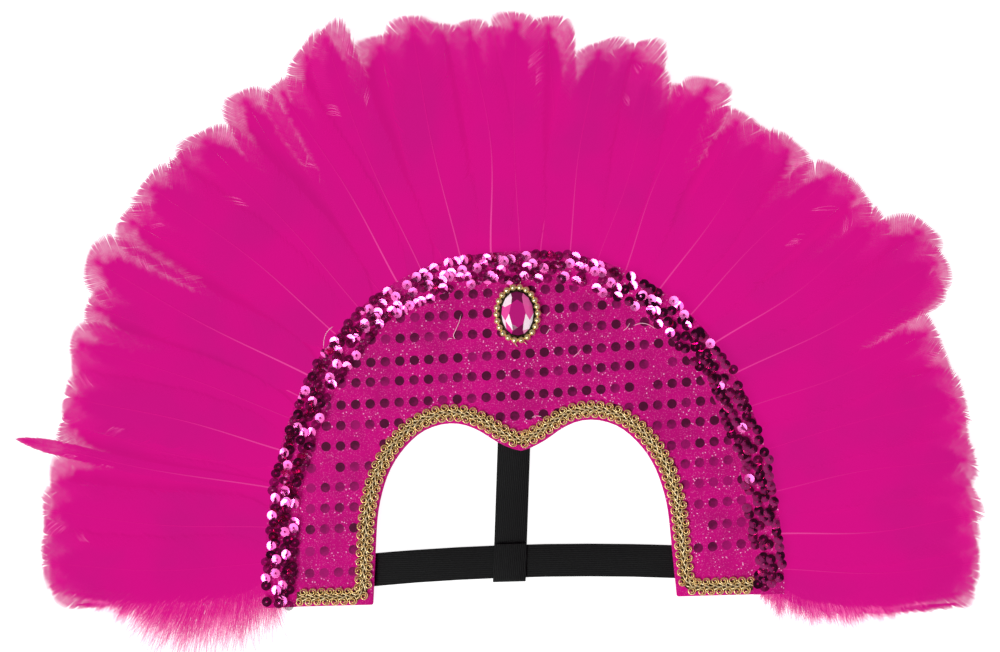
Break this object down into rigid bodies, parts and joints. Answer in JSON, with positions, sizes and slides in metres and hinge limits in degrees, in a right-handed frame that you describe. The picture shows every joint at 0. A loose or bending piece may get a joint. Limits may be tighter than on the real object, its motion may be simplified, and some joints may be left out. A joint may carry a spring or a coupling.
{
  "type": "carnival feather headdress",
  "caption": "Crown panel in spotted cloth with a sequin band, gold gimp edging and a jewel, a fan of dyed feathers behind it and elastic straps.",
  "frame": {"origin": "middle of the foot of the model's box, on the surface it lies on", "axes": "+Z out of the front face, up as it lies; +Y from the feet to the top feathers; +X to the right foot as seen from the front"},
  "size_m": [0.552, 0.3652, 0.0158],
  "materials": {
    "spotted_cloth": "woven magenta cloth with rows of dark foil spots and fine glitter",
    "sequins": "foiled magenta cup sequins, glossy, white glints on the lit side and near black in the shade",
    "gold_gimp": "coiled metallic gold cord",
    "gold_metal": "polished gold-coloured cast beads and bezel",
    "pink_stone": "foil-backed faceted stone, deep pink with pale facets",
    "black_elastic": "matt black elastic with fine lengthwise ribs",
    "pink_feather": "dyed feather vanes, satin, with paler downy edges"
  },
  "bodies": {
    "root": {"crown_panel": "spotted_cloth", "sequin_band": "sequins", "gold_braid": "gold_gimp", "gem_setting": "gold_metal", "gem_stone": "pink_stone", "crown_strap": "black_elastic", "back_strap": "black_elastic", "feather_fan_rear": "pink_feather", "feather_fan_front": "pink_feather"}
  },
  "joints": []
}
